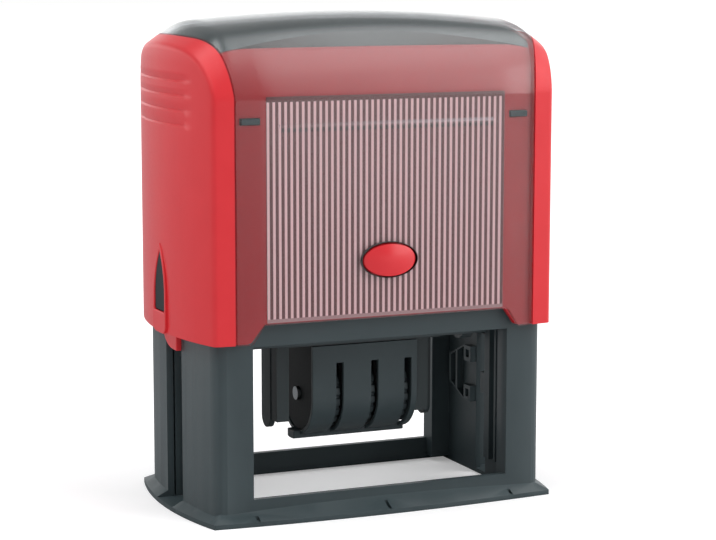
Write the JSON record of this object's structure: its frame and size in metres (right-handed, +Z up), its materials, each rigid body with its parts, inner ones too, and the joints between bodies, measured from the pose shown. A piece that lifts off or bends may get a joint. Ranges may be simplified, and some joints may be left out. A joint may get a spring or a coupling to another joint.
{
  "type": "self-inking date stamp",
  "caption": "Self-inking desk date stamp: push-down cap with a smoky cover, flipping print carriage, setting wheels for the date bands and a slide-out ink cartridge.",
  "frame": {"origin": "middle of the underside, on the surface the stamp stands on", "axes": "+Z up along the push of the cap, +X along the length, +Y to the back; the print order is read from the front at -Y"},
  "size_m": [0.1164, 0.0686, 0.1435],
  "materials": {
    "frame_plastic": "satin dark grey-green moulding",
    "red_plastic": "semi-gloss red moulding",
    "smoky_plastic": "clear smoke-tinted moulding",
    "card": "printed card with upright stripes",
    "ink_felt": "felt soaked with ink",
    "spring_steel": "drawn steel wire",
    "foam": "foam sheet",
    "die_rubber": "moulded rubber",
    "wheel_plastic": "satin grey moulding"
  },
  "bodies": {
    "frame": {"base_frame": "frame_plastic", "return_spring": "spring_steel"},
    "ink_cartridge": {"pad_tray": "frame_plastic", "ink_pad": "ink_felt"},
    "cap": {"cap_body": "red_plastic", "smoky_cover": "smoky_plastic", "front_card": "card", "back_card": "card", "lift_yoke": "frame_plastic"},
    "front_button": {"front_lock_button": "red_plastic"},
    "back_button": {"back_lock_button": "red_plastic"},
    "carriage": {"die_carriage": "frame_plastic", "die_cushion": "foam", "text_die": "die_rubber", "dater_frame": "frame_plastic", "band_guard": "frame_plastic", "wheel_axle": "spring_steel", "band_platen": "frame_plastic", "day_band": "die_rubber", "month_band": "die_rubber", "year_band": "die_rubber"},
    "day_dial": {"day_wheel": "wheel_plastic"},
    "month_dial": {"month_wheel": "wheel_plastic"},
    "year_dial": {"year_wheel": "wheel_plastic"}
  },
  "joints": [
    {"name": "cap_slide", "type": "slide", "parent": "frame", "child": "cap", "axis": [0, 0, -1], "range_m": [0, 0.0418], "stiffness_N_per_m": 500, "springref_m": -0.012, "deforming": ["return_spring"]},
    {"name": "carriage_flip", "type": "hinge", "parent": "cap", "child": "carriage", "pos_m": [0, 0, 0.0478], "axis": [1, 0, 0], "range_deg": [0, 180]},
    {"name": "pad_slide", "type": "slide", "parent": "frame", "child": "ink_cartridge", "axis": [0, 1, 0], "range_m": [0, 0.064]},
    {"name": "front_button_press", "type": "slide", "parent": "cap", "child": "front_button", "axis": [0, 1, 0], "range_m": [0, 0.0016], "stiffness_N_per_m": 400, "springref_m": -0.002},
    {"name": "back_button_press", "type": "slide", "parent": "cap", "child": "back_button", "axis": [0, -1, 0], "range_m": [0, 0.0016], "stiffness_N_per_m": 400, "springref_m": -0.002},
    {"name": "day_turn", "type": "hinge", "parent": "carriage", "child": "day_dial", "pos_m": [0, 0, 0.0305], "axis": [1, 0, 0], "continuous": true},
    {"name": "month_turn", "type": "hinge", "parent": "carriage", "child": "month_dial", "pos_m": [0, 0, 0.0305], "axis": [1, 0, 0], "continuous": true},
    {"name": "year_turn", "type": "hinge", "parent": "carriage", "child": "year_dial", "pos_m": [0, 0, 0.0305], "axis": [1, 0, 0], "continuous": true}
  ],
  "couplings": [
    {"joint": "carriage_flip", "follows": "cap_slide", "rad_per_m": 75.15}
  ]
}
